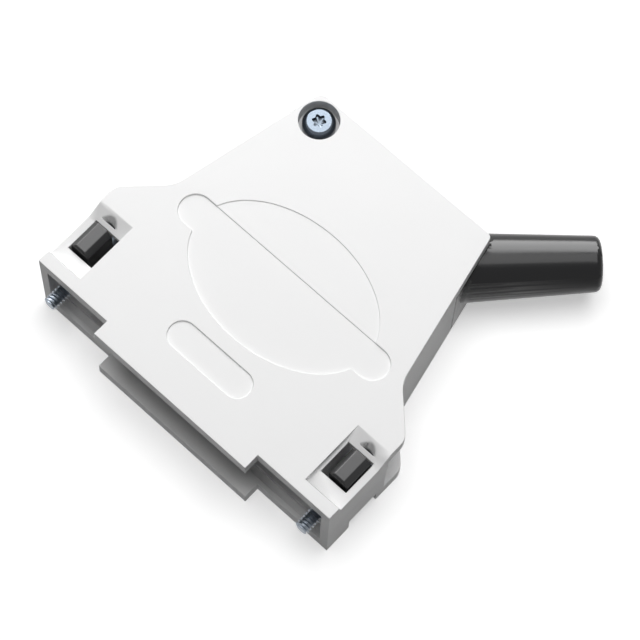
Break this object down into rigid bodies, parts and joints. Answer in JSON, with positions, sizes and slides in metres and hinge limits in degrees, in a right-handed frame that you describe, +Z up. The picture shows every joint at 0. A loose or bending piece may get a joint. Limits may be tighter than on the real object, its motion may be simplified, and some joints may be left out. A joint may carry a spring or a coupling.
{
  "type": "d-sub connector hood",
  "caption": "Moulded hood for a subminiature D connector, in two half shells with an angled cable outlet, black boot, captive jackscrews and an inner cable clamp.",
  "frame": {"origin": "midway between the two jackscrews' axes, in the front plane of the ears, at half the shell's height", "axes": "+X across the hood from the left ear to the right ear, +Y rearwards along the jackscrews, +Z up, out of the cover; the hood rests on its underside at z = -9.65 mm"},
  "size_m": [0.0741, 0.0773, 0.0194],
  "materials": {
    "white_shell": "white moulded ABS, satin",
    "boot_rubber": "black moulded rubber, satin",
    "black_nylon": "black moulded nylon",
    "clamp_steel": "stamped steel, zinc plated",
    "zinc_steel": "zinc plated steel"
  },
  "bodies": {
    "root": {"top_cover": "white_shell", "bottom_shell": "white_shell", "cable_boot": "boot_rubber", "closing_screw": "zinc_steel", "closing_nut": "zinc_steel", "clamp_lower": "clamp_steel", "clamp_upper": "clamp_steel", "clamp_screw_inner": "zinc_steel", "clamp_screw_outer": "zinc_steel", "clamp_nut_inner": "zinc_steel", "clamp_nut_outer": "zinc_steel"},
    "retainer_left": {"retainer_left": "black_nylon"},
    "retainer_right": {"retainer_right": "black_nylon"},
    "jackscrew_left": {"jackscrew_left": "zinc_steel"},
    "jackscrew_right": {"jackscrew_right": "zinc_steel"}
  },
  "joints": [
    {"name": "left_float", "type": "slide", "parent": "root", "child": "retainer_left", "axis": [0, 1, 0], "range_m": [-0.0004, 0.0004]},
    {"name": "left_turn", "type": "hinge", "parent": "retainer_left", "child": "jackscrew_left", "pos_m": [-0.03055, 0.00937, 0], "axis": [0, 1, 0], "continuous": true},
    {"name": "right_float", "type": "slide", "parent": "root", "child": "retainer_right", "axis": [0, 1, 0], "range_m": [-0.0004, 0.0004]},
    {"name": "right_turn", "type": "hinge", "parent": "retainer_right", "child": "jackscrew_right", "pos_m": [0.03055, 0.00937, 0], "axis": [0, 1, 0], "continuous": true}
  ]
}
